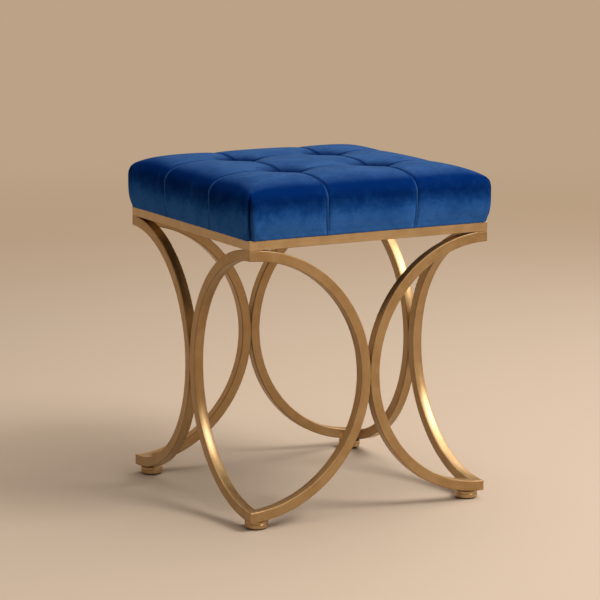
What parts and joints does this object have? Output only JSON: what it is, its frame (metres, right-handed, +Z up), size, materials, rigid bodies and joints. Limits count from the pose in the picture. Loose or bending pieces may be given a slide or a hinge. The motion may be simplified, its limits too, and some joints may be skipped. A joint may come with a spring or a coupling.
{
  "type": "accent stool",
  "caption": "Square stool with a tufted blue velvet seat on a gold frame of half-ring legs bent from square tube, with screw-in levelling glides.",
  "frame": {"origin": "on the floor under the centre of the seat", "axes": "+Z up, -Y towards the front, +X to the right as seen from the front"},
  "size_m": [0.414, 0.414, 0.512],
  "materials": {
    "frame_metal": "satin",
    "glide_metal": "satin",
    "zinc_steel": "satin",
    "black_steel": "satin",
    "floor_pad": "matte",
    "plywood": "matte",
    "foam": "matte",
    "velvet": "matte",
    "cambric": "matte",
    "twine": "matte"
  },
  "bodies": {
    "stool": {"rail_front": "frame_metal", "rail_right": "frame_metal", "rail_back": "frame_metal", "rail_left": "frame_metal", "arc_front_left": "frame_metal", "arc_front_right": "frame_metal", "arc_back_left": "frame_metal", "arc_back_right": "frame_metal", "arc_left_front": "frame_metal", "arc_right_front": "frame_metal", "arc_left_back": "frame_metal", "arc_right_back": "frame_metal", "seat_bracket_front_left": "frame_metal", "seat_bracket_front_right": "frame_metal", "seat_bracket_back_left": "frame_metal", "seat_bracket_back_right": "frame_metal", "foot_tab_front_left": "frame_metal", "foot_tab_front_right": "frame_metal", "foot_tab_back_left": "frame_metal", "foot_tab_back_right": "frame_metal", "seat_board": "plywood", "foam_core": "foam", "velvet_cover": "velvet", "dust_cover": "cambric", "tuft_ties": "twine", "tuft_washers": "zinc_steel", "seat_bolts": "black_steel", "bolt_washers": "zinc_steel", "tee_nuts": "zinc_steel"},
    "glide_screw_front_left": {"glide_stem_front_left": "zinc_steel"},
    "glide_foot_front_left": {"glide_base_front_left": "glide_metal", "glide_pad_front_left": "floor_pad"},
    "glide_screw_front_right": {"glide_stem_front_right": "zinc_steel"},
    "glide_foot_front_right": {"glide_base_front_right": "glide_metal", "glide_pad_front_right": "floor_pad"},
    "glide_screw_back_left": {"glide_stem_back_left": "zinc_steel"},
    "glide_foot_back_left": {"glide_base_back_left": "glide_metal", "glide_pad_back_left": "floor_pad"},
    "glide_screw_back_right": {"glide_stem_back_right": "zinc_steel"},
    "glide_foot_back_right": {"glide_base_back_right": "glide_metal", "glide_pad_back_right": "floor_pad"}
  },
  "joints": [
    {"name": "glide_drop_front_left", "type": "slide", "parent": "stool", "child": "glide_screw_front_left", "axis": [0, 0, -1], "range_m": [0, 0.006]},
    {"name": "glide_turn_front_left", "type": "hinge", "parent": "glide_screw_front_left", "child": "glide_foot_front_left", "pos_m": [-0.1807, -0.1807, 0], "axis": [0, 0, -1], "range_deg": [0, 2160]},
    {"name": "glide_drop_front_right", "type": "slide", "parent": "stool", "child": "glide_screw_front_right", "axis": [0, 0, -1], "range_m": [0, 0.006]},
    {"name": "glide_turn_front_right", "type": "hinge", "parent": "glide_screw_front_right", "child": "glide_foot_front_right", "pos_m": [0.1807, -0.1807, 0], "axis": [0, 0, -1], "range_deg": [0, 2160]},
    {"name": "glide_drop_back_left", "type": "slide", "parent": "stool", "child": "glide_screw_back_left", "axis": [0, 0, -1], "range_m": [0, 0.006]},
    {"name": "glide_turn_back_left", "type": "hinge", "parent": "glide_screw_back_left", "child": "glide_foot_back_left", "pos_m": [-0.1807, 0.1807, 0], "axis": [0, 0, -1], "range_deg": [0, 2160]},
    {"name": "glide_drop_back_right", "type": "slide", "parent": "stool", "child": "glide_screw_back_right", "axis": [0, 0, -1], "range_m": [0, 0.006]},
    {"name": "glide_turn_back_right", "type": "hinge", "parent": "glide_screw_back_right", "child": "glide_foot_back_right", "pos_m": [0.1807, 0.1807, 0], "axis": [0, 0, -1], "range_deg": [0, 2160]}
  ],
  "couplings": [
    {"joint": "glide_drop_front_left", "follows": "glide_turn_front_left", "m_per_rad": 0.00015915},
    {"joint": "glide_drop_front_right", "follows": "glide_turn_front_right", "m_per_rad": 0.00015915},
    {"joint": "glide_drop_back_left", "follows": "glide_turn_back_left", "m_per_rad": 0.00015915},
    {"joint": "glide_drop_back_right", "follows": "glide_turn_back_right", "m_per_rad": 0.00015915}
  ]
}
